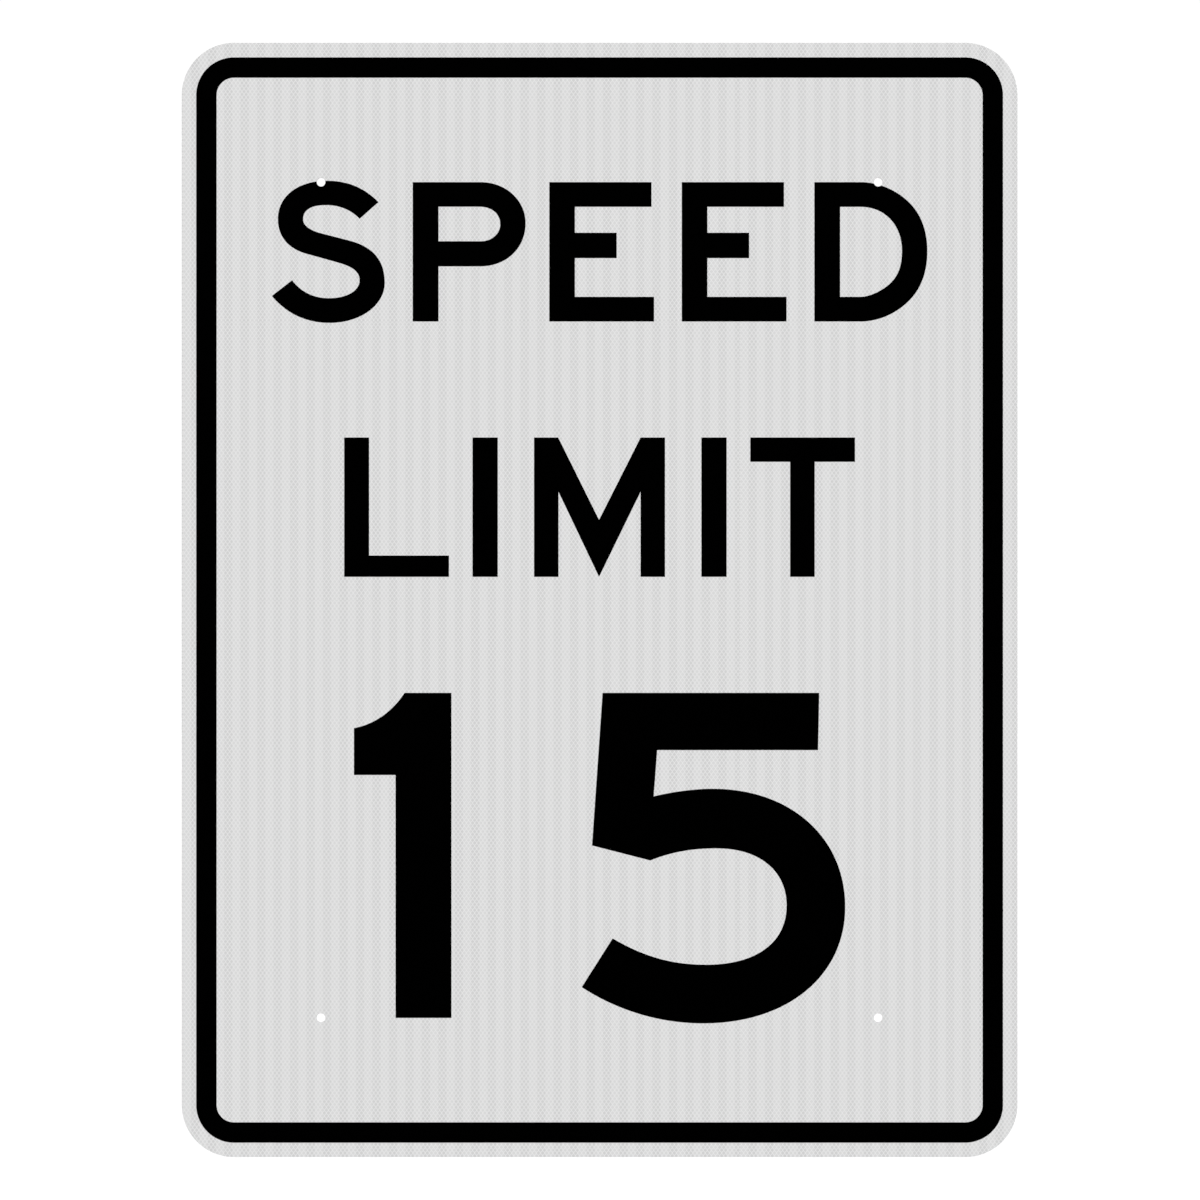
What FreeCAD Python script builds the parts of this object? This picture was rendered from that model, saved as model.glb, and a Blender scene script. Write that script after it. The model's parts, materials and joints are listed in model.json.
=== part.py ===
"""A flat speed limit sign: an aluminium blank, a reflective sheeting on its face and a black border film.

The sign stands upright as it does on its posts. X runs across it, Z runs up it and its face looks along -Y.
The origin is the centre of the blank's rear face, which is also the centre of the four bolt holes.
The layers lie face to face, from the rear: blank, sheeting, border film. All sizes are in millimetres.
"""

import FreeCAD, Part
import math
import os

import Sketcher
from FreeCAD import Vector

INCH = 25.4
OUTPUT_FOLDER = "parts"

# The driving dimensions: cell alias, size and what it measures.
SIZES = [
    ("sign_width", 36 * INCH, "width of the blank and of the sheeting"),
    ("sign_height", 48 * INCH, "height of the blank and of the sheeting"),
    ("corner_radius", 2.25 * INCH, "radius of the four outer corners"),
    ("blank_thickness", 0.100 * INCH, "aluminium sheet the blank is cut from"),
    ("edge_break", 0.3, "chamfer left by deburring the blank's rear rim"),
    ("sheeting_thickness", 0.4, "prismatic sheeting with its adhesive"),
    ("film_thickness", 0.1, "black film with its adhesive"),
    ("border_margin", 0.625 * INCH, "sheeting left showing outside the border"),
    ("border_width", 0.875 * INCH, "width of the border band"),
    ("hole_diameter", 0.375 * INCH, "punched bolt holes"),
    ("hole_spacing_across", 24 * INCH, "from hole to hole along X"),
    ("hole_spacing_up", 36 * INCH, "from hole to hole along Z"),
]

# Sketcher's names for the start, end and centre of a curve.
START, END, CENTRE = 1, 2, 3
# The sketch's own origin is point 1 of geometry -1.
ORIGIN = (-1, START)


def make_sheet(doc):
    """The spreadsheet that every size is bound to."""
    sheet = doc.addObject("Spreadsheet::Sheet", "Sizes")
    for row, (alias, size, meaning) in enumerate(SIZES, start=1):
        sheet.set(f"A{row}", alias)
        sheet.set(f"B{row}", f"{size:.6g}")
        sheet.set(f"C{row}", meaning)
        sheet.setAlias(f"B{row}", alias)
    doc.recompute()
    return sheet


def make_body(doc, label, front_of=""):
    """An empty body whose rear face lies the given distance in front of the blank's rear face."""
    body = doc.addObject("PartDesign::Body", label)
    body.Label = label
    if front_of:
        body.setExpression("Placement.Base.y", f"-({front_of})")
    return body


def make_sketch(body, name):
    """A sketch on the body's upright XZ plane, whose normal points to the sign's face."""
    plane = next(f for f in body.Origin.OriginFeatures if f.Role == "XZ_Plane")
    sketch = body.newObject("Sketcher::SketchObject", name)
    sketch.AttachmentSupport = [(plane, "")]
    sketch.MapMode = "FlatFace"
    return sketch


def bind(sketch, index, name, expression):
    """Names a dimension of the sketch and ties it to the spreadsheet."""
    sketch.renameConstraint(index, name)
    sketch.setExpression(f"Constraints.{name}", expression)


def add_rounded_rectangle(sketch, prefix, width, height, radius):
    """A centred rectangle with tangent corner arcs, driven by three expressions."""
    # Rough half sizes to draw at. The constraints then set the real ones.
    half_w, half_h, r = 400.0, 500.0, 10.0
    quarter = math.pi / 2
    corners = [(1, 1), (-1, 1), (-1, -1), (1, -1)]
    arcs = []
    for turn, (sx, sz) in enumerate(corners):
        circle = Part.Circle(Vector(sx * (half_w - r), sz * (half_h - r), 0), Vector(0, 0, 1), r)
        arcs.append(sketch.addGeometry(Part.ArcOfCircle(circle, turn * quarter, (turn + 1) * quarter)))
    sides = []
    for arc in range(4):
        here = sketch.getPoint(arcs[arc], END)
        there = sketch.getPoint(arcs[(arc + 1) % 4], START)
        sides.append(sketch.addGeometry(Part.LineSegment(here, there)))
    top, left, bottom, right = sides
    for index in range(4):
        sketch.addConstraint(Sketcher.Constraint("Tangent", arcs[index], END, sides[index], START))
        following = arcs[(index + 1) % 4]
        sketch.addConstraint(Sketcher.Constraint("Tangent", sides[index], END, following, START))
    for side in (top, bottom):
        sketch.addConstraint(Sketcher.Constraint("Horizontal", side))
    for side in (left, right):
        sketch.addConstraint(Sketcher.Constraint("Vertical", side))
    for arc in arcs[1:]:
        sketch.addConstraint(Sketcher.Constraint("Equal", arcs[0], arc))
    sketch.addConstraint(Sketcher.Constraint("Symmetric", arcs[0], CENTRE, arcs[2], CENTRE, *ORIGIN))
    bind(
        sketch,
        sketch.addConstraint(Sketcher.Constraint("DistanceX", left, START, right, START, 2 * half_w)),
        prefix + "_width",
        width,
    )
    bind(
        sketch,
        sketch.addConstraint(Sketcher.Constraint("DistanceY", bottom, START, top, START, 2 * half_h)),
        prefix + "_height",
        height,
    )
    bind(
        sketch,
        sketch.addConstraint(Sketcher.Constraint("Radius", arcs[0], r)),
        prefix + "_radius",
        radius,
    )


def pad(body, sketch, thickness):
    """Thickens the sketch towards the sign's face."""
    feature = body.newObject("PartDesign::Pad", "Sheet")
    feature.Profile = sketch
    feature.setExpression("Length", thickness)
    return feature


def punch_holes(body, thickness):
    """Punches the four bolt holes, centred on the sign, right through the body."""
    sketch = make_sketch(body, "BoltHoles")
    rough_x, rough_z, rough_r = 300.0, 450.0, 4.0
    holes = []
    for sx, sz in [(1, 1), (-1, 1), (-1, -1), (1, -1)]:
        circle = Part.Circle(Vector(sx * rough_x, sz * rough_z, 0), Vector(0, 0, 1), rough_r)
        holes.append(sketch.addGeometry(circle))
    top_right, top_left, bottom_left, bottom_right = holes
    pairs = [
        ("Horizontal", top_left, top_right),
        ("Horizontal", bottom_left, bottom_right),
        ("Vertical", top_left, bottom_left),
        ("Vertical", top_right, bottom_right),
    ]
    for kind, one, other in pairs:
        sketch.addConstraint(Sketcher.Constraint(kind, one, CENTRE, other, CENTRE))
    for hole in holes[1:]:
        sketch.addConstraint(Sketcher.Constraint("Equal", top_right, hole))
    sketch.addConstraint(Sketcher.Constraint("Symmetric", top_right, CENTRE, bottom_left, CENTRE, *ORIGIN))
    across = Sketcher.Constraint("DistanceX", top_left, CENTRE, top_right, CENTRE, 2 * rough_x)
    bind(sketch, sketch.addConstraint(across), "across", "Sizes.hole_spacing_across")
    up = Sketcher.Constraint("DistanceY", bottom_right, CENTRE, top_right, CENTRE, 2 * rough_z)
    bind(sketch, sketch.addConstraint(up), "up", "Sizes.hole_spacing_up")
    size = Sketcher.Constraint("Diameter", top_right, 2 * rough_r)
    bind(sketch, sketch.addConstraint(size), "size", "Sizes.hole_diameter")
    pocket = body.newObject("PartDesign::Pocket", "Punch")
    pocket.Profile = sketch
    # The sketch's normal already points into the body, so the cut is turned to follow it.
    pocket.Reversed = True
    pocket.setExpression("Length", thickness)
    return pocket


def break_rear_rim(body, punched, width, height):
    """Chamfers the outer rim of the blank's rear face, where the sheared edge is deburred."""
    names = []
    for number, edge in enumerate(punched.Shape.Edges, start=1):
        box = edge.BoundBox
        on_rear_face = max(abs(box.YMin), abs(box.YMax)) < 1e-6
        reach = max(
            2 * max(abs(box.XMin), abs(box.XMax)) / width,
            2 * max(abs(box.ZMin), abs(box.ZMax)) / height,
        )
        if on_rear_face and reach > 1 - 1e-6:
            names.append(f"Edge{number}")
    chamfer = body.newObject("PartDesign::Chamfer", "RimBreak")
    chamfer.Base = (punched, names)
    chamfer.setExpression("Size", "Sizes.edge_break")
    return chamfer


def make_blank(doc, sheet):
    """The aluminium blank: sheared to size, corners rounded, punched and deburred."""
    body = make_body(doc, "sign_blank")
    sketch = make_sketch(body, "Outline")
    add_rounded_rectangle(sketch, "blank", "Sizes.sign_width", "Sizes.sign_height", "Sizes.corner_radius")
    pad(body, sketch, "Sizes.blank_thickness")
    punched = punch_holes(body, "Sizes.blank_thickness")
    doc.recompute()
    break_rear_rim(body, punched, sheet.sign_width, sheet.sign_height)
    return body


def make_sheeting(doc):
    """The white prismatic sheeting, rolled onto the blank, trimmed flush and punched with it."""
    body = make_body(doc, "reflective_sheeting", "Sizes.blank_thickness")
    sketch = make_sketch(body, "Outline")
    add_rounded_rectangle(sketch, "sheeting", "Sizes.sign_width", "Sizes.sign_height", "Sizes.corner_radius")
    pad(body, sketch, "Sizes.sheeting_thickness")
    punch_holes(body, "Sizes.sheeting_thickness")
    return body


def make_border(doc):
    """The black border: one closed band of film, its corners concentric with the blank's."""
    body = make_body(doc, "border_film", "Sizes.blank_thickness + Sizes.sheeting_thickness")
    sketch = make_sketch(body, "Band")
    outer_inset = "Sizes.border_margin"
    inner_inset = "(Sizes.border_margin + Sizes.border_width)"
    for prefix, inset in (("outer", outer_inset), ("inner", inner_inset)):
        add_rounded_rectangle(
            sketch,
            prefix,
            f"Sizes.sign_width - 2 * {inset}",
            f"Sizes.sign_height - 2 * {inset}",
            f"Sizes.corner_radius - {inset}",
        )
    pad(body, sketch, "Sizes.film_thickness")
    return body


def check_document(doc):
    """Stops if any object failed to recompute."""
    for item in doc.Objects:
        if {"Invalid", "Error"} & set(item.State):
            raise RuntimeError(f"{item.Label} did not recompute: {item.State}")


def check_punch(body, sheet, thickness):
    """Stops unless the punch took away four full cylinders."""
    sheared = next(f for f in body.Group if f.TypeId == "PartDesign::Pad")
    punched = next(f for f in body.Group if f.TypeId == "PartDesign::Pocket")
    removed = sheared.Shape.Volume - punched.Shape.Volume
    expected = 4 * math.pi / 4 * sheet.hole_diameter**2 * thickness
    if abs(removed - expected) > 1e-3 * expected:
        raise RuntimeError(f"{body.Label}: the holes took {removed:.3f} mm3 and not {expected:.3f} mm3")


def check_shape(body):
    """Stops unless the body is one valid closed solid."""
    shape = body.Shape
    if shape.isNull() or not shape.isValid() or len(shape.Solids) != 1:
        raise RuntimeError(f"{body.Label} is not one valid solid")


def main():
    doc = FreeCAD.newDocument("SpeedLimitSign")
    sheet = make_sheet(doc)
    blank = make_blank(doc, sheet)
    sheeting = make_sheeting(doc)
    border = make_border(doc)
    doc.recompute()
    check_document(doc)
    check_punch(blank, sheet, sheet.blank_thickness)
    check_punch(sheeting, sheet, sheet.sheeting_thickness)
    os.makedirs(OUTPUT_FOLDER, exist_ok=True)
    for body in (blank, sheeting, border):
        check_shape(body)
        body.Shape.exportStep(os.path.join(OUTPUT_FOLDER, body.Label + ".step"))
        box = body.Shape.BoundBox
        print(
            f"{body.Label}: {box.XLength:.2f} x {box.YLength:.2f} x {box.ZLength:.2f} mm, "
            f"y from {box.YMin:.3f} to {box.YMax:.3f}, {body.Shape.Volume / 1000:.2f} cm3"
        )


main()
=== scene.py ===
# %% [markdown]
# # A speed limit sign, layer by layer
#
# The real sign is a sandwich: an aluminium blank, a white reflective sheeting that covers its whole
# face, and black film for the border and the legend. It could be one plain box with everything painted
# on it, but from the side or from close by that would look like a box. So each layer is a sheet of its
# own: an outline that is given a thickness. What makes such a simple object look real is an exact
# outline, true corners and holes, and a sheeting that holds up when the camera comes near.

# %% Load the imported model
import json
import math

import bmesh
import bpy
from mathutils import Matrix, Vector
from mathutils.geometry import interpolate_bezier


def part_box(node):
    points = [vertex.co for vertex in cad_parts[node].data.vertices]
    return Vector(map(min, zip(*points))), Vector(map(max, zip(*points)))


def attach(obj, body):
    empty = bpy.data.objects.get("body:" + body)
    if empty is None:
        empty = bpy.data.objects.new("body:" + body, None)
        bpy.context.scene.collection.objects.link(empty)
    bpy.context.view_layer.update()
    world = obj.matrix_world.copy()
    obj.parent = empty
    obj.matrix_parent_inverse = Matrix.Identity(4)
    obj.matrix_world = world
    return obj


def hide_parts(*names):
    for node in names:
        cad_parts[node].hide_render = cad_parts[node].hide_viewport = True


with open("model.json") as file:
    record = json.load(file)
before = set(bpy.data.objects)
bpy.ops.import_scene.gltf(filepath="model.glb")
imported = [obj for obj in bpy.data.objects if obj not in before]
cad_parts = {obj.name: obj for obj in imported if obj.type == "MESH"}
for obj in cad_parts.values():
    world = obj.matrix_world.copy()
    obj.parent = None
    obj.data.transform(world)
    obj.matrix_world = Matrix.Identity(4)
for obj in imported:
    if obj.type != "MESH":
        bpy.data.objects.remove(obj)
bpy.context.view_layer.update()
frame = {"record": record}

# %% [markdown]
# ## Sizes
#
# The sign's layers lie along Y. Its face looks along -Y, and the blank's rear face is at y = 0. The
# sizes could be typed in a second time, but then the looks and the construction might drift apart. So
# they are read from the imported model. What a box can't tell, such as a corner's radius, is written in
# the step that needs it.

# %% Read the size of the sign and the depth of its layers
INCH = 0.0254

blank_low, blank_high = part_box("sign_blank")
sheeting_low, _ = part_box("reflective_sheeting")
border_low, border_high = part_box("border_film")

sign_width = blank_high.x - blank_low.x
sign_height = blank_high.z - blank_low.z
rear_y, blank_y, sheeting_y, film_y = blank_high.y, blank_low.y, sheeting_low.y, border_low.y

print(f"sign {sign_width / INCH:.2f} x {sign_height / INCH:.2f} in")
print("layers start at y =", [round(y, 5) for y in (rear_y, blank_y, sheeting_y, film_y)])

# %% [markdown]
# ## Outlines
#
# Everything on a sign is cut from flat stock, so its outline says nearly all about it. Three kinds are
# enough here: a rounded rectangle, a circle, and a letter's outline of straight lines and flowing
# curves. Curve objects could draw them too, but a plain list of points is easier to measure, to inset
# and to punch. The first two kinds come from a formula. A letter is drawn with a pen, as a sign maker
# would describe it: go straight to here, then curve to there and arrive in that direction.

# %% Draw rounded rectangles and circles
CORNER_STEPS = 28
HOLE_STEPS = 56


def arc(centre_x, centre_z, radius, first, last, steps):
    """Points on an arc, with both ends. Angles are in quarter turns."""
    points = []
    for step in range(steps + 1):
        angle = math.pi / 2 * (first + (last - first) * step / steps)
        points.append((centre_x + radius * math.cos(angle), centre_z + radius * math.sin(angle)))
    return points


def rounded_rectangle(width, height, radius):
    """A centred rectangle with round corners, anticlockwise from the right."""
    x, z = width / 2 - radius, height / 2 - radius
    points = []
    for quarter, (sx, sz) in enumerate([(1, 1), (-1, 1), (-1, -1), (1, -1)]):
        points += arc(sx * x, sz * z, radius, quarter, quarter + 1, CORNER_STEPS)
    return points


def circle(x, z, radius):
    """A full circle. The last point is left out, because it is the first again."""
    return arc(x, z, radius, 0, 4, HOLE_STEPS)[:-1]


flattest = 1 - math.cos(math.pi / HOLE_STEPS)
print(f"a circle of {HOLE_STEPS} points is at most {flattest:.2%} of its radius too small")


# %% Draw a letter's outline with a pen
CURVE_STEPS = 28
SAME_PLACE = 0.001


class Pen:
    """Draws one closed outline. Lengths are in inches and headings in degrees anticlockwise from +X."""

    def __init__(self, x, z):
        self.points = [(x, z)]
        self.heading = 0.0

    def line(self, *corners):
        """Straight on to each corner in turn."""
        for x, z in corners:
            start = self.points[-1]
            self.heading = math.degrees(math.atan2(z - start[1], x - start[0]))
            self.points.append((x, z))
        return self

    def curve(self, x, z, arriving, fullness=0.6, leaving=None):
        """A curve that arrives at (x, z) with the heading given.

        Its handles reach for the point where its two tangents meet. Fullness is the share of that way
        that they go: 0.55 gives a quarter of an ellipse, and more gives squarer shoulders.
        """
        start, end = Vector(self.points[-1]), Vector((x, z))
        out = self.direction(self.heading if leaving is None else leaving)
        back = self.direction(arriving)
        across = out.x * back.y - out.y * back.x
        gap = end - start
        first = fullness * (gap.x * back.y - gap.y * back.x) / across
        last = fullness * (out.x * gap.y - out.y * gap.x) / across
        handles = [start, start + first * out, end - last * back, end]
        places = interpolate_bezier(*[p.to_3d() for p in handles], CURVE_STEPS + 1)
        self.points += [(p.x, p.y) for p in places[1:]]
        self.heading = arriving
        return self

    def closed(self):
        """The finished outline, without a last point that repeats the first."""
        first, last = Vector(self.points[0]), Vector(self.points[-1])
        repeated = (first - last).length < SAME_PLACE
        return self.points[:-1] if repeated else self.points

    @staticmethod
    def direction(degrees):
        return Vector((math.cos(math.radians(degrees)), math.sin(math.radians(degrees))))


quarter = Pen(1, 0).curve(0, 1, 180, fullness=0.552, leaving=90)
radii = [math.hypot(x, z) for x, z in quarter.points]
print(f"a quarter circle drawn with one curve has radii from {min(radii):.4f} to {max(radii):.4f}")

# %% [markdown]
# ## From an outline to a sheet
#
# A sheet could be made with a Solidify modifier, or by extruding a curve object. Here it is built ring
# by ring, because then the rim and the holes get their own small bevels, and the big flat faces stay
# perfectly flat. A ring is the outline at one depth. Walls join one ring to the next, and the first
# and last rings are filled in. An inset makes a ring a little smaller and its holes a little wider,
# and that is all a deburred edge is.

# %% Add a ring and fill it
FACE, WALL = 0, 1


def add_ring(bm, loops, y):
    """Adds each loop's vertices at depth y."""
    return [[bm.verts.new((x, y, z)) for x, z in loop] for loop in loops]


def fill_ring(bm, ring):
    """A flat face over the ring's first loop, left open at the other loops."""
    edges = []
    for loop in ring:
        edges += [bm.edges.get((loop[i - 1], loop[i])) for i in range(len(loop))]
    filled = bmesh.ops.triangle_fill(bm, use_beauty=True, use_dissolve=False, edges=edges)
    for item in filled["geom"]:
        if isinstance(item, bmesh.types.BMFace):
            item.material_index = FACE
            item.smooth = False


print("a sheet's flat faces take finish", FACE, "and its walls take finish", WALL)

# %% [markdown]
# ## A map for each sheet
#
# A finish made of nodes lives only in Blender. To go anywhere else it is baked into a picture, and a UV
# map says which part of the picture each face gets. Blender can unwrap a mesh by itself, but then the
# hidden side of a sheet takes as much of the picture as the side that shows, and a fine pattern is
# lost. So each sheet gets its map while it is built, under the name that the library's export looks
# for. Both sides share nearly all of it, because they have the same pattern at the same places, and
# each loop's walls lie in a narrow strip below.
#
# The share that the sides take is chosen with care: in a picture that is 1024 dots wide and high, a
# cell of the sheeting's mesh is five dots each way. With a broken number, the mesh would beat against
# the dots and show false bands.

# %% Join two rings with walls
MAP_NAME = "OFBake"
WALL_STRIPS = 0.036


def shares_round(loop):
    """How far round the loop each vertex lies, as a share. The last, 1, is the first vertex again."""
    sides = [(b.co - a.co).length for a, b in zip(loop, loop[1:] + loop[:1])]
    return [sum(sides[:i]) / sum(sides) for i in range(len(loop) + 1)]


def join_rings(bm, one, other, depths):
    """Walls between two rings. The depths of the two run from 0 at the rear to 1 at the face."""
    layer = bm.loops.layers.uv[MAP_NAME]
    for number, (near, far) in enumerate(zip(one, other)):
        near_v, far_v = [WALL_STRIPS * (number + depth) / len(one) for depth in depths]
        shares = shares_round(near)
        for i in range(len(near)):
            j = (i + 1) % len(near)
            wall = bm.faces.new((near[i], near[j], far[j], far[i]))
            wall.material_index = WALL
            wall.smooth = True
            left, right = shares[i], shares[i + 1]
            spots = [(left, near_v), (right, near_v), (right, far_v), (left, far_v)]
            for corner, spot in zip(wall.loops, spots):
                corner[layer].uv = spot


print(f"all walls of a sheet lie in the lowest {WALL_STRIPS:.1%} of its map")


# %% Spread the flat faces over the map
FACES_WIDTH = 0.991
FACES_HEIGHT = 0.9521


def map_faces(bm):
    """Spreads both flat faces over the map above the strips, one on the other."""
    rim = (1 - FACES_WIDTH) / 2
    layer = bm.loops.layers.uv[MAP_NAME]
    xs = [vert.co.x for vert in bm.verts]
    zs = [vert.co.z for vert in bm.verts]
    left, width = min(xs), max(xs) - min(xs)
    foot, height = min(zs), max(zs) - min(zs)
    for face in bm.faces:
        if face.material_index == FACE:
            for corner in face.loops:
                across = (corner.vert.co.x - left) / width
                down = 1 - (corner.vert.co.z - foot) / height
                corner[layer].uv = (rim + across * FACES_WIDTH, 1 - rim - down * FACES_HEIGHT)


print(f"both flat faces of a sheet share {FACES_WIDTH * FACES_HEIGHT:.1%} of its map")


# %% Build a whole sheet
SHARP_ANGLE = math.radians(30)


def sheet_piece(name, rings):
    """A closed sheet from (y, loops) rings, rear first."""
    bm = bmesh.new()
    bm.loops.layers.uv.new(MAP_NAME)
    made = [add_ring(bm, loops, y) for y, loops in rings]
    last = len(made) - 1
    for step in range(last):
        join_rings(bm, made[step], made[step + 1], (step / last, (step + 1) / last))
    fill_ring(bm, made[0])
    fill_ring(bm, made[-1])
    map_faces(bm)
    bmesh.ops.recalc_face_normals(bm, faces=bm.faces)
    open_edges = sum(not edge.is_manifold for edge in bm.edges)
    mesh = bpy.data.meshes.new(name)
    bm.to_mesh(mesh)
    bm.free()
    mesh.set_sharp_from_angle(angle=SHARP_ANGLE)
    piece = bpy.data.objects.new(name, mesh)
    bpy.context.scene.collection.objects.link(piece)
    print(f"{name}: {len(mesh.polygons)} faces, {open_edges} open edges")
    return piece


print(f"walls look sharp where they turn by more than {math.degrees(SHARP_ANGLE):.0f} degrees")

# %% [markdown]
# ## The blank and the sheeting
#
# The blank is sheared from rolled sheet and its corners are rounded. The sheeting is pressed on, and
# then the holes are punched through both from the face. Shears and punch leave a burr behind, and
# taking it off breaks the rear rim and, more lightly, the rear edge of each hole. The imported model
# already holds both sheets and could simply be shown. They are made again here only because a packed
# round corner is a few straight chords, which show at the rim. The new ones have the same sizes, with
# finer arcs.

# %% Lay out the panel's outline and holes
CORNER_RADIUS = 2.25 * INCH
MM_IN_A_METRE = 1000

bolts = frame["record"]["mounts"][0]["dims"]
hole_radius = bolts["hole_r_mm"] / MM_IN_A_METRE
hole_x = bolts["spacing_x_mm"] / 2 / MM_IN_A_METRE
hole_z = bolts["spacing_y_mm"] / 2 / MM_IN_A_METRE
hole_places = [(sx * hole_x, sz * hole_z) for sx in (-1, 1) for sz in (-1, 1)]


def concentric_loop(inset=0.0):
    """The panel's outline, moved inwards all round."""
    return rounded_rectangle(sign_width - 2 * inset, sign_height - 2 * inset, CORNER_RADIUS - inset)


def panel_loops(inset=0.0, hole_growth=0.0):
    """The panel's outline and its four holes."""
    holes = [circle(x, z, hole_radius + hole_growth) for x, z in hole_places]
    return [concentric_loop(inset)] + holes


print(f"four holes of {2 * hole_radius / INCH:.3f} in")
print(f"they lie {2 * hole_x / INCH:.0f} in apart across and {2 * hole_z / INCH:.0f} in up")

# %% Make the blank and the sheeting
RIM_BREAK = 0.0003
HOLE_BREAK = 0.00015

blank = sheet_piece(
    "punched_blank",
    [
        (rear_y, panel_loops(RIM_BREAK, HOLE_BREAK)),
        (rear_y - HOLE_BREAK, panel_loops(RIM_BREAK - HOLE_BREAK)),
        (rear_y - RIM_BREAK, panel_loops()),
        (blank_y, panel_loops()),
    ],
)
sheeting = sheet_piece("prismatic_sheeting", [(blank_y, panel_loops()), (sheeting_y, panel_loops())])

# %% [markdown]
# ## The border
#
# The border is one closed band of film. One rounded rectangle could be cut out of another with a
# Boolean, but a sheet with two loops is the same thing with no cut to go wrong. The band's corners are
# concentric with the panel's, so each radius is the panel's radius less the distance from the edge.
# That is what makes a border look parallel to the edge all the way round.

# %% Make the border band
BORDER_WIDTH = 0.875 * INCH

border_margin = blank_high.x - border_high.x
band_loops = [concentric_loop(border_margin), concentric_loop(border_margin + BORDER_WIDTH)]
border = sheet_piece("border_band", [(sheeting_y, band_loops), (film_y, band_loops)])
print(f"the band starts {border_margin / INCH:.3f} in from the edge")

# %% [markdown]
# ## The letters
#
# Road signs use their own alphabet, with even strokes and open shapes that can be read from far
# away. A Text object would be quick, but Blender's built-in font looks nothing like it. So each letter
# is drawn here in inches, from its own left edge and from the line that it stands on. The words are
# 6 inches high and the number is 14. Straight letters need only their corners. Round ones follow the
# pen, with a point wherever the outline runs level, runs upright or changes its bend. A round foot
# reaches a little below the line, because one that only touched it would look too short.

# %% Draw the letters E and L
WORD_HEIGHT = 6


def print_widths(*letters):
    print(", ".join(f"{draw.__name__} {draw()[0]:.2f} in wide" for draw in letters))


def letter_e():
    width, stem, arm = 4.51, 1.10, 1.06
    top_reach, mid_reach, waist_low, waist_high = 4.40, 2.90, 2.73, 3.82
    shoulder = WORD_HEIGHT - arm
    return width, [
        Pen(0, 0).line(
            (width, 0), (width, arm), (stem, arm), (stem, waist_low), (mid_reach, waist_low),
            (mid_reach, waist_high), (stem, waist_high), (stem, shoulder), (top_reach, shoulder),
            (top_reach, WORD_HEIGHT), (0, WORD_HEIGHT),
        )
    ]


def letter_l():
    width, stem, foot = 4.51, 1.07, 0.915
    return width, [
        Pen(0, 0).line(
            (width, 0), (width, foot), (stem, foot), (stem, WORD_HEIGHT), (0, WORD_HEIGHT),
        )
    ]


print_widths(letter_e, letter_l)


# %% Draw the letters I, M and T
def letter_i():
    stem = 1.085
    return stem, [Pen(0, 0).line((stem, 0), (stem, WORD_HEIGHT), (0, WORD_HEIGHT))]


def letter_m():
    stem, width = 1.05, 5.64
    middle, inner_corner, notch, left_shoulder = 2.80, 3.67, 2.45, 1.04
    return width, [
        Pen(0, 0).line(
            (stem, 0), (stem, inner_corner), (middle, 0), (width - stem, inner_corner),
            (width - stem, 0), (width, 0), (width, WORD_HEIGHT), (width - stem, WORD_HEIGHT),
            (middle, notch), (left_shoulder, WORD_HEIGHT), (0, WORD_HEIGHT),
        )
    ]


def letter_t():
    width, arm, left, right = 4.507, 1.044, 1.716, 2.771
    shoulder = WORD_HEIGHT - arm
    return width, [
        Pen(left, 0).line(
            (right, 0), (right, shoulder), (width, shoulder), (width, WORD_HEIGHT), (0, WORD_HEIGHT),
            (0, shoulder), (left, shoulder),
        )
    ]


print_widths(letter_i, letter_m, letter_t)


# %% Draw the letter S
def letter_s():
    pen = Pen(4.59, 5.14)
    pen.curve(2.39, 6.06, 180, 0.67, leaving=134.3)
    pen.curve(0.26, 4.415, 270, 0.598)
    pen.curve(1.39, 2.945, 341.6, 0.652)
    pen.line((2.86, 2.535))
    pen.curve(3.78, 1.775, 270, 0.694)
    pen.curve(2.455, 1.00, 180, 0.583)
    pen.curve(0.87, 1.775, 127.3, 0.654)
    pen.line((0, 1.10))
    pen.curve(2.49, -0.06, 0, 0.662, leaving=309.8)
    pen.curve(4.86, 1.66, 90, 0.558)
    pen.curve(3.31, 3.49, 165.6, 0.683)
    pen.line((2.13, 3.795))
    pen.curve(1.345, 4.40, 90, 0.653)
    pen.curve(2.335, 5.015, 0, 0.658)
    pen.curve(3.78, 4.425, 314.8, 0.665)
    return 4.861, [pen]


print_widths(letter_s)


# %% Draw the letters P and D
def letter_p():
    stem, width = 1.107, 4.86
    outer = Pen(0, 0).line((0, WORD_HEIGHT), (2.93, WORD_HEIGHT))
    outer.curve(width, 4.24, 270, 0.558)
    outer.curve(2.90, 2.374, 180, 0.58)
    outer.line((stem, 2.374), (stem, 0))
    counter = Pen(stem, 3.453).line((stem, 4.944), (2.858, 4.944))
    counter.curve(3.769, 4.177, 270, 0.61)
    counter.curve(2.933, 3.453, 180, 0.555)
    return width, [outer, counter]


def letter_d():
    stem, width = 1.106, 4.864
    outer = Pen(0, 0).line((0, WORD_HEIGHT), (1.984, WORD_HEIGHT))
    outer.curve(3.652, 5.478, 326.2, 0.647)
    outer.curve(width, 3.025, 270, 0.667)
    outer.curve(3.89, 0.721, 220.2, 0.666)
    outer.curve(1.987, 0, 180, 0.642)
    counter = Pen(stem, 1.061).line((stem, 4.938), (1.982, 4.938))
    counter.curve(3.773, 3.04, 270, 0.589)
    counter.curve(3.019, 1.444, 214.4, 0.705)
    counter.curve(1.981, 1.061, 180, 0.631)
    return width, [outer, counter]


print_widths(letter_p, letter_d)


# %% Draw the numerals
NUMBER_HEIGHT = 14


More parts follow.
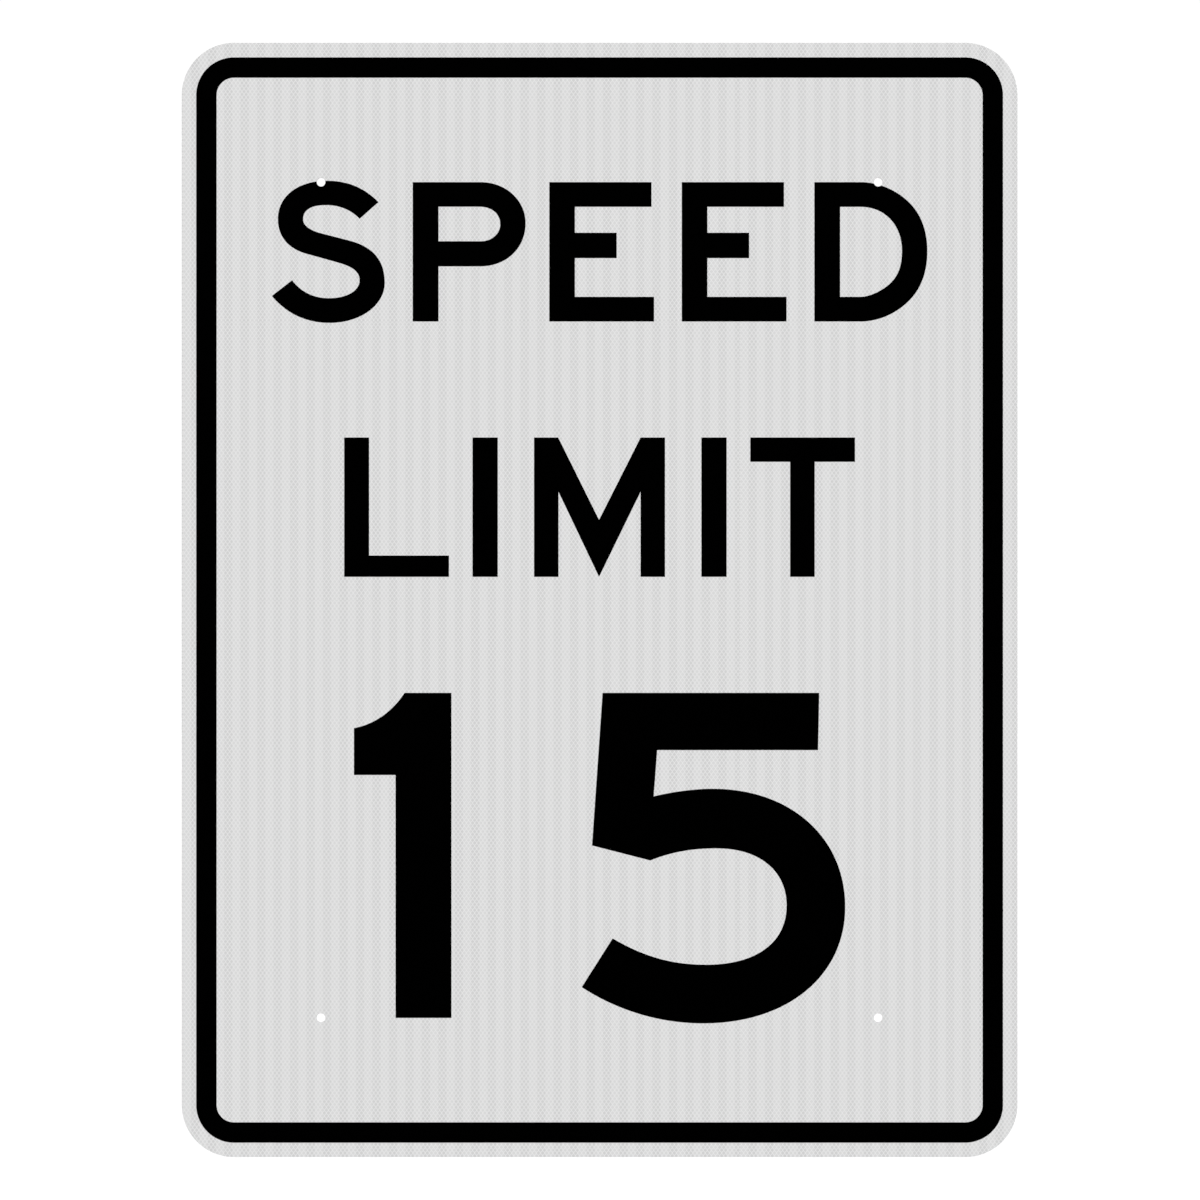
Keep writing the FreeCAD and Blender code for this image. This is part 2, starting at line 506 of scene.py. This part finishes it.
def numeral_1():
    width, stem_left, flag_low = 4.198, 1.793, 10.465
    pen = Pen(2.183, NUMBER_HEIGHT)
    pen.curve(0, 12.48, 191, 0.663, leaving=236)
    pen.line((0, flag_low), (stem_left, flag_low), (stem_left, 0), (width, 0), (width, NUMBER_HEIGHT))
    return width, [pen]


def numeral_5():
    width, bar_low = 11.351, 11.537
    pen = Pen(0.90, NUMBER_HEIGHT).line((0.445, 7.427), (2.953, 6.782))
    pen.curve(5.807, 7.305, 0, 0.687, leaving=21.9)
    pen.curve(8.828, 4.839, 270, 0.61)
    pen.curve(5.363, 2.288, 180, 0.623)
    pen.curve(1.331, 3.423, 149.8, 0.70)
    pen.line((0, 1.323))
    pen.curve(5.239, -0.236, 0, 0.652, leaving=327)
    pen.curve(width, 4.781, 90, 0.592)
    pen.curve(5.647, 9.87, 180, 0.587)
    pen.curve(3.098, 9.54, 193.8, 0.629)
    pen.line((3.25, bar_low), (10.179, bar_low), (10.23, NUMBER_HEIGHT))
    return width, [pen]


print_widths(numeral_1, numeral_5)

# %% [markdown]
# ## Setting the legend
#
# A legend is laid out line by line. Each letter could be moved into place by eye, but a line that is
# centred by adding up its widths comes out right at once. The gaps are given one by one: to look evenly
# spaced, two stems side by side need more room between them than a round or an open letter does. The
# two upper bolt holes go through the first and last letter of the top line, so those films are punched
# with a Boolean, which is just what the punch press does.

# %% Set each line and cut its films
def film_piece(name, outlines, left, baseline):
    """One letter of film, its outlines moved to their place on the sign."""
    loops = []
    for pen in outlines:
        loops.append([((left + x) * INCH, (baseline + z) * INCH) for x, z in pen.closed()])
    return sheet_piece(name, [(sheeting_y, loops), (film_y, loops)])


def set_line(word, letters, gaps, baseline):
    """Makes a centred line of films, with one gap after each letter but the last.

    The gaps and the height of the baseline over the sign's centre are in inches.
    """
    drawn = [draw() for draw in letters]
    left = -(sum(width for width, _ in drawn) + sum(gaps)) / 2
    films = []
    for number, (width, outlines) in enumerate(drawn):
        letter = letters[number].__name__.split("_")[1]
        films.append(film_piece(f"film_{word}_{number + 1}_{letter}", outlines, left, baseline))
        left += width + (gaps[number] if number < len(gaps) else 0)
    return films


legend = set_line(
    "upper",
    [letter_s, letter_p, letter_e, letter_e, letter_d],
    gaps=[1.207, 1.023, 1.197, 1.202],
    baseline=12.0,
)
legend += set_line(
    "middle",
    [letter_l, letter_i, letter_m, letter_i, letter_t],
    gaps=[1.017, 1.565, 1.569, 1.022],
    baseline=1.0,
)
legend += set_line("number", [numeral_1, numeral_5], gaps=[5.613], baseline=-18.0)


# %% Punch the holes through the films that reach them
PUNCH_REACH = 0.002


def punch(film, x, z):
    """Cuts the hole at (x, z) out of a film."""
    loops = [circle(x, z, hole_radius)]
    tool = sheet_piece("punch_tool", [(rear_y + PUNCH_REACH, loops), (film_y - PUNCH_REACH, loops)])
    cut = film.modifiers.new("punch", "BOOLEAN")
    cut.operation = "DIFFERENCE"
    cut.solver = "EXACT"
    cut.object = tool
    bpy.context.view_layer.update()
    evaluated = film.evaluated_get(bpy.context.evaluated_depsgraph_get())
    mesh = bpy.data.meshes.new_from_object(evaluated)
    film.modifiers.clear()
    film.data = mesh
    bpy.data.objects.remove(tool)
    mesh.set_sharp_from_angle(angle=SHARP_ANGLE)
    print(f"{film.name} is punched: {len(mesh.polygons)} faces")


for film in legend:
    xs = [v.co.x for v in film.data.vertices]
    zs = [v.co.z for v in film.data.vertices]
    for x, z in hole_places:
        near_x = min(xs) - hole_radius < x < max(xs) + hole_radius
        near_z = min(zs) - hole_radius < z < max(zs) + hole_radius
        if near_x and near_z:
            punch(film, x, z)

# %% [markdown]
# ## Writing a material as sums
#
# A real finish comes from what was done to the surface, and its nodes are mostly arithmetic: where am
# I, how far is that from a line, how strongly does it show. The nodes could be made and linked one by
# one, but that hides the idea. So one small class stands for a socket of the node tree, and adding or
# multiplying it adds the matching Math node. The finish then reads like the formula that it is. Every
# other node comes from the class's one method, which takes the node's type, its settings, and the
# values or links of its sockets.

# %% A socket that can be calculated with
class Value:
    """A socket in a node tree. Sums with it add Math nodes."""

    def __init__(self, tree, socket=None):
        self.tree = tree
        self.socket = socket

    def node(self, kind, settings, *values, output=None, **named):
        """A new node: settings first, then its sockets in order or by name. Gives one output."""
        made = self.tree.nodes.new(kind)
        for setting, value in settings.items():
            setattr(made, setting, value)
        for socket, value in zip([socket for socket in made.inputs if socket.enabled], values):
            feed(socket, value)
        for name, value in named.items():
            feed(made.inputs[name.replace("_", " ")], value)
        outputs = {socket.name: socket for socket in made.outputs if socket.enabled}
        return Value(self.tree, outputs[output or next(iter(outputs))])

    def math(self, operation, *others):
        return self.node("ShaderNodeMath", {"operation": operation}, self, *others)

    def __add__(self, other):
        return self.math("ADD", other)

    def __sub__(self, other):
        return self.math("SUBTRACT", other)

    def __mul__(self, other):
        return self.math("MULTIPLY", other)

    def __truediv__(self, other):
        return self.math("DIVIDE", other)

    def __mod__(self, other):
        return self.math("FLOORED_MODULO", other)

    def __pow__(self, other):
        return self.math("POWER", other)

    def __neg__(self):
        return self * -1

    def __rsub__(self, other):
        return -self + other

    __radd__ = __add__
    __rmul__ = __mul__


def feed(socket, value):
    """Links a Value to a socket, or sets a plain number, colour or vector on it."""
    if isinstance(value, Value):
        value.tree.links.new(value.socket, socket)
    else:
        socket.default_value = value


trial = bpy.data.node_groups.new("trial", "ShaderNodeTree")
mask = Value(trial).node("ShaderNodeValue", {})
rest_of_mask = 1 - mask
made_of = [node.operation for node in trial.nodes if node.type == "MATH"]
print("1 - mask is made of", made_of, "and comes out of the socket", rest_of_mask.socket.name)
bpy.data.node_groups.remove(trial)


# %% Sums that the finishes share
def between(low, high, share):
    """A plain mix of two numbers or Values."""
    return share * (high - low) + low


def kept_within(value, low, high):
    return value.math("MAXIMUM", low).math("MINIMUM", high)


def wave(turns):
    """A cosine that is 1 at every whole number of turns."""
    return (turns * (2 * math.pi)).math("COSINE")


def split(place):
    """The x, y and z of a place or a direction."""
    return [place.node("ShaderNodeSeparateXYZ", {}, place, output=axis) for axis in "XYZ"]


def grey(level):
    """A plain neutral colour."""
    return level, level, level, 1


def mixed_colour(share, one, other):
    """One colour where the share is 0 and the other where it is 1, and on past both ends."""
    return share.node("ShaderNodeMix", {"data_type": "RGBA", "clamp_factor": False}, share, one, other)


def clouds(place, size, detail=4.0, contrast=1.0):
    """A noise about 0.5, kept between 0 and 1. Its size along x, y and z is in metres."""
    scaled = place.node("ShaderNodeMapping", {}, Vector=place, Scale=[1 / length for length in size])
    noise = place.node("ShaderNodeTexNoise", {}, Vector=scaled, Scale=1.0, Detail=detail)
    return kept_within((noise - 0.5) * contrast + 0.5, 0, 1)


def relief(height, depth, strength):
    """A bump normal from a height between 0 and 1 and a real depth in metres."""
    return height.node("ShaderNodeBump", {}, Strength=strength, Distance=depth, Height=height)


print("between 10 and 20, a share of 0.25 gives", between(10, 20, 0.25))


# %% Start a material and paint it
def new_material(name, **plain):
    """A material and the place on the sign. Plain sockets are set straight away."""
    material = bpy.data.materials.new(name)
    material.use_nodes = True
    shader = material.node_tree.nodes["Principled BSDF"]
    for socket, value in plain.items():
        shader.inputs[socket.replace("_", " ")].default_value = value
    place = Value(material.node_tree).node("ShaderNodeTexCoord", {}, output="Object")
    return material, place


def paint(material, **painted):
    """Links what changes over the surface to the shader's sockets."""
    tree = material.node_tree
    for socket, value in painted.items():
        feed(tree.nodes["Principled BSDF"].inputs[socket.replace("_", " ")], value)
    print(f"{material.name}: {len(tree.nodes)} nodes, painted on {sorted(painted)}")
    return material


print("a new material starts with", [node.name for node in new_material("trial")[0].node_tree.nodes])
bpy.data.materials.remove(bpy.data.materials["trial"])

# %% [markdown]
# ## The prismatic sheeting
#
# This sheeting sends headlights back through thousands of tiny prisms, sealed under a clear skin in
# diamond cells. By daylight the cells look light grey and the seal lines between them nearly white. The
# prisms also change direction every two cells, which shows as soft upright bands. In the photo the
# pattern starts afresh every 24 inches across and every 12 inches up, as if it were pressed in by a
# tool of that size.
#
# A lattice could be modelled, but it lies under the skin and a cell is only 4.5 mm wide, so it is
# painted in the material. Two cosines run at a slant, one rising and one falling. Raised to a high
# power, a cosine becomes a row of narrow lines with soft edges, and the two rows of lines together are
# the mesh. The cells of the real sheeting are a little wider than a plain diamond, and two more
# cosines see to that. Where the sheeting is cut, at its rim and in the holes, it shows its layers of
# skin, prisms and adhesive instead. That is a duller finish of its own.

# %% The lattice of cells
TILE_WIDTH = 24 * INCH
TILE_HEIGHT = 12 * INCH
TILE_EDGE = 6.05 * INCH
CELL_WIDTH = INCH / 5.6378
CELL_HEIGHT = INCH / 4.0625
CELLS_IN_TWO_BANDS = 4
FIRST_COLUMN = 0.147
FIRST_ROW = -0.024
LINE_SHARPNESS = 12
WIDENING = 0.07
BAND_SHARPNESS = 6
BAKED_DOTS = 1024


def lattice(place):
    """(mesh, bands): the mesh is 1 on the seal lines, and a band is 1 or 0."""
    x, _, z = split(place)
    across = ((x - TILE_EDGE) % TILE_WIDTH) / CELL_WIDTH
    down = (-z % TILE_HEIGHT) / CELL_HEIGHT
    column = across + FIRST_COLUMN
    row = down + FIRST_ROW
    rising = ((wave(column + row) + 1) / 2) ** LINE_SHARPNESS
    falling = ((wave(column - row) + 1) / 2) ** LINE_SHARPNESS
    widening = (wave(column * 2) - wave(row * 2)) * WIDENING
    mesh = rising + falling - rising * falling + widening
    swing = (across * (2 * math.pi / CELLS_IN_TWO_BANDS)).math("SINE")
    bands = kept_within(swing * BAND_SHARPNESS + 0.5, 0, 1)
    return mesh, bands


dots_wide = CELL_WIDTH / sign_width * FACES_WIDTH * BAKED_DOTS
dots_high = CELL_HEIGHT / sign_height * FACES_HEIGHT * BAKED_DOTS
print(f"{TILE_WIDTH / CELL_WIDTH:.1f} cells across a tile and {TILE_HEIGHT / CELL_HEIGHT:.2f} up it")
print(f"in a picture {BAKED_DOTS} dots wide and high, a cell is {dots_wide:.3f} x {dots_high:.3f} dots")

# %% Paint the white sheeting
LIGHT_CELL = 0.7145
DARK_CELL = 0.660
SEAL_LINE = 0.855
CELL_ROUGHNESS = 0.34
SEAL_ROUGHNESS = 0.40


def white_sheeting():
    material, place = new_material(
        "white prismatic sheeting", Specular_IOR_Level=0.25, Coat_Weight=0.6, Coat_Roughness=0.08
    )
    mesh, bands = lattice(place)
    cell = mixed_colour(bands, grey(DARK_CELL), grey(LIGHT_CELL))
    return paint(
        material,
        Base_Color=mixed_colour(mesh, cell, grey(SEAL_LINE)),
        Roughness=between(CELL_ROUGHNESS, SEAL_ROUGHNESS, mesh),
        Normal=relief(mesh, depth=0.00005, strength=0.08),
    )


sheeting_finish = white_sheeting()


# %% Paint the sheeting's cut edge
LAYER_THICKNESS = 0.00016
CUT_LENGTH = 0.0012
ADHESIVE = 0.36
CUT_SKIN = 0.58


def cut_sheeting():
    material, place = new_material("cut edge of the sheeting", Roughness=0.55, Specular_IOR_Level=0.3)
    layers = clouds(place, (CUT_LENGTH, LAYER_THICKNESS, CUT_LENGTH), contrast=1.6)
    return paint(
        material,
        Base_Color=mixed_colour(layers, grey(ADHESIVE), grey(CUT_SKIN)),
        Normal=relief(layers, depth=0.00004, strength=0.3),
    )


cut_finish = cut_sheeting()

# %% [markdown]
# ## The black film
#
# The film is a thin opaque vinyl, pressed on the sheeting. One flat black would do from straight in
# front, but from any other side it would look like a hole in the picture. What tells black vinyl from
# a hole is its gloss, so that is where the nodes go: a low roughness that varies softly, a faint
# orange peel, and under it a trace of the sheeting's mesh, which shows only where light grazes it.

# %% Paint the black film
DEEP_BLACK = 0.00002
FADED_BLACK = 0.0001
SMOOTH_FILM = 0.09
WORN_FILM = 0.13
PEEL_SIZE = 0.004
PEEL_SHARE = 0.6
GLOSS_CLOUD_SIZE = 0.11


def black_film():
    material, place = new_material("black opaque film", Specular_IOR_Level=0.4)
    mesh, _ = lattice(place)
    orange_peel = clouds(place, [PEEL_SIZE] * 3, detail=2.0)
    cloud = clouds(place, [GLOSS_CLOUD_SIZE] * 3)
    return paint(
        material,
        Base_Color=mixed_colour(cloud, grey(DEEP_BLACK), grey(FADED_BLACK)),
        Roughness=between(SMOOTH_FILM, WORN_FILM, cloud),
        Normal=relief(between(mesh, orange_peel, PEEL_SHARE), depth=0.00005, strength=0.45),
    )


film_finish = black_film()

# %% [markdown]
# ## The aluminium
#
# The rear is bare rolled sheet. Rolling draws fine streaks along the sheet, and the shine changes a
# little from streak to streak. An anisotropic shader could stretch the highlights that way, but it
# shows no streaks when the camera comes near. Noises that are stretched a long way in one direction
# show them at every distance, and one that isn't stretched gives the faint clouds of oxide.
#
# The sheared edge is another finish. The shear polishes one part of the wall and tears the rest, with
# fine lines through the sheet. It could share the rear's finish, but it is duller and darker than the
# rear, and so the edge can be told from a white background.

# %% Paint the rolled aluminium
STREAKS = [
    # length, height, share
    (1.40, 0.0330, 0.3),
    (0.50, 0.0033, 0.4),
    (0.14, 0.0004, 0.3),
]
STREAK_THICKNESS = 1.0
STREAKS_IN_COLOUR = 0.6
OXIDE_CLOUD_SIZE = 0.22
DULL_METAL = (0.53, 0.54, 0.55, 1)
BRIGHT_METAL = (0.74, 0.74, 0.75, 1)
ROLLED_ROUGHNESS = 0.16
STREAK_ROUGHNESS = 0.26
OXIDE_ROUGHNESS = 0.12


def rolled_aluminium():
    material, place = new_material("rolled aluminium", Metallic=1.0)
    rows = [
        share * clouds(place, (length, STREAK_THICKNESS, height), contrast=2.1)
        for length, height, share in STREAKS
    ]
    streaks = sum(rows[1:], rows[0])
    oxide = clouds(place, [OXIDE_CLOUD_SIZE] * 3, contrast=1.8)
    brightness = STREAKS_IN_COLOUR * streaks + (1 - STREAKS_IN_COLOUR) * oxide
    return paint(
        material,
        Base_Color=mixed_colour(brightness, DULL_METAL, BRIGHT_METAL),
        Roughness=ROLLED_ROUGHNESS + STREAK_ROUGHNESS * streaks + OXIDE_ROUGHNESS * oxide,
        Normal=relief(streaks, depth=0.00006, strength=0.2),
    )


rear_finish = rolled_aluminium()


# %% Paint the sheared edge
SHEAR_LINE = (0.0004, 0.011, 0.0004)
DARK_EDGE = 0.20
PALE_EDGE = 0.33
SHEARED_ROUGHNESS = 0.48
TORN_ROUGHNESS = 0.16
LINE_ROUGHNESS = 0.12


def sheared_edge():
    material, place = new_material("sheared aluminium edge", Metallic=1.0)
    lines = clouds(place, SHEAR_LINE, contrast=1.8)
    _, y, _ = split(place)
    torn = (y - blank_y) / (rear_y - blank_y)
    return paint(
        material,
        Base_Color=mixed_colour(lines, grey(DARK_EDGE), grey(PALE_EDGE)),
        Roughness=SHEARED_ROUGHNESS + TORN_ROUGHNESS * torn + LINE_ROUGHNESS * lines,
        Normal=relief(lines, depth=0.00006, strength=0.25),
    )


edge_finish = sheared_edge()

# %% [markdown]
# ## Dressing the pieces
#
# On the real sign all the layers move as one, and each is made of one stock. Every piece could be
# dressed where it is made, but in one table the whole sign can be read at a glance: its finishes, the
# slot of the part that it stands for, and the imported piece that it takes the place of. The words are
# films that are only in the looks, so they replace nothing. Each piece rides on the sign's one body.

# %% Dress the pieces
dressing = [
    (blank, "sheet_aluminium", "sign_blank", [rear_finish, edge_finish]),
    (sheeting, "white_sheeting", "reflective_sheeting", [sheeting_finish, cut_finish]),
    (border, "black_film", "border_film", [film_finish]),
]
dressing += [(film, "black_film", None, [film_finish]) for film in legend]

for piece, slot, node, finishes in dressing:
    for finish in finishes:
        piece.data.materials.append(finish)
    if len(finishes) == 1:
        faces = piece.data.polygons
        faces.foreach_set("material_index", [FACE] * len(faces))
    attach(piece, "root")
    if node:
        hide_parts(node)
walls = sum(polygon.material_index == WALL for polygon in blank.data.polygons)
print(f"{len(dressing)} pieces are dressed, and {walls} faces of the blank are sheared walls")
print("finishes on each piece:", [len(piece.data.materials) for piece, *_ in dressing])

# %% [markdown]
# ## The floor
#
# The sign is pictured upright before plain white. A studio would hang a curved sheet of paper behind
# it, but that shows as a wall when the camera goes round. So the floor is a wide disc a little below the
# sign, which runs on until it is as white as the tent around it. It is there for the camera and for
# shadows only. Its own glow would make the foot of the sign brighter than its head, so it takes no
# part in bounced or mirrored light.

# %% Lay the pale floor
FLOOR_DROP = 0.34
FLOOR_RADIUS = 40.0
FLOOR_CLOUD_SIZE = 0.017
FLOOR_GREY = 0.52
FLOOR_PALE = 0.54

floor_mesh = bpy.data.meshes.new("floor")
bm = bmesh.new()
bmesh.ops.create_circle(bm, cap_ends=True, segments=96, radius=FLOOR_RADIUS)
bm.to_mesh(floor_mesh)
bm.free()
floor = bpy.data.objects.new("floor", floor_mesh)
floor.location = (0, 0, blank_low.z - FLOOR_DROP)
floor.visible_diffuse = False
floor.visible_glossy = False
bpy.context.scene.collection.objects.link(floor)

floor_finish, floor_place = new_material("pale floor", Roughness=0.9, Specular_IOR_Level=0.1)
floor_cloud = clouds(floor_place, [FLOOR_CLOUD_SIZE] * 3)
paint(floor_finish, Base_Color=mixed_colour(floor_cloud, grey(FLOOR_GREY), grey(FLOOR_PALE)))
floor_mesh.materials.append(floor_finish)

# %% [markdown]
# ## The light
#
# A sign is pictured in soft, even light. Area lamps are the usual choice, but they light the middle of
# so large a flat face more than its rim. Suns light it all alike, and a wide sun is as soft as a large
# lamp. Two stand in front, left and right, and one behind.
#
# The sign stands in a white tent with one dark gap, straight in front of the face. Gloss that faces
# the camera mirrors that gap, so the black film stays black, and from any other side the tent shows in
# it. The tent could be a real mesh, but a world that is worked out from the direction has no edge and
# casts no shadow.

# %% Hang three soft suns
def add_sun(name, azimuth, elevation, strength, width):
    """A sun. Azimuth 0 stands in front of the sign and 90 on its right. Angles are in degrees."""
    light = bpy.data.lights.new(name, "SUN")
    light.energy = strength
    light.angle = math.radians(width)
    sun = bpy.data.objects.new(name, light)
    a, e = math.radians(azimuth), math.radians(elevation)
    towards = Vector((math.sin(a) * math.cos(e), -math.cos(a) * math.cos(e), math.sin(e)))
    sun.rotation_mode = "QUATERNION"
    sun.rotation_quaternion = towards.to_track_quat("Z", "Y")
    bpy.context.scene.collection.objects.link(sun)
    print(f"{name}: strength {strength}, on the face {strength * max(0, -towards.y):.2f}")


for name, azimuth in (("front_left_sun", -42), ("front_right_sun", 42)):
    add_sun(name, azimuth, elevation=35, strength=2.02, width=60)
add_sun("rear_sun", azimuth=150, elevation=38, strength=1.6, width=60)

# %% Put up the white tent with its dark gap
GAP_EDGE = 0.96
GAP_SOFTNESS = 0.9
WALL_GLOW = 0.9
LEVEL_GLOW = 0.75
RISE = 0.8
LEAST_GLOW = 0.1
MOST_GLOW = 1.5
SEEN_GLOW = 1.02

world = bpy.data.worlds.new("studio")
world.use_nodes = True
bpy.context.scene.world = world
background = world.node_tree.nodes["Background"]
background.inputs["Color"].default_value = (1, 1, 1, 1)
direction = Value(world.node_tree).node("ShaderNodeTexCoord", {}, output="Generated")
_, behind, up = split(direction)
beside_the_gap = kept_within((behind + GAP_EDGE) / GAP_SOFTNESS, 0, 1)
from_above = kept_within(LEVEL_GLOW + RISE * up, LEAST_GLOW, MOST_GLOW)
glow = beside_the_gap * from_above * WALL_GLOW
seen = direction.node("ShaderNodeLightPath", {}, output="Is Camera Ray")
feed(background.inputs["Strength"], between(glow, SEEN_GLOW, seen))
print(f"the gap is {math.degrees(math.acos(GAP_EDGE)):.0f} degrees wide on each side of straight ahead")

# %% [markdown]
# ## The camera
#
# The picture is taken square on and from far away, with the sides of the sign parallel. An
# orthographic camera would do for this one view, but it looks wrong from a corner. So the lens is a
# long one, and its distance follows from how much of the sign's plane the picture spans.

# %% Set up the camera
LENS = 200.0
SENSOR = 36.0
PICTURE_WIDTH = 51.692 * INCH
AIM_X = 0.00044

camera_data = bpy.data.cameras.new("camera")
camera_data.lens = LENS
camera_data.sensor_width = SENSOR
camera_data.clip_end = 200
camera = bpy.data.objects.new("camera", camera_data)
camera.location = (AIM_X, sheeting_y - PICTURE_WIDTH * LENS / SENSOR, 0)
camera.rotation_euler = (math.pi / 2, 0, 0)
bpy.context.scene.collection.objects.link(camera)
bpy.context.scene.camera = camera
bpy.context.scene.view_settings.view_transform = "Standard"
print(f"the camera is {-camera.location.y:.3f} m in front")
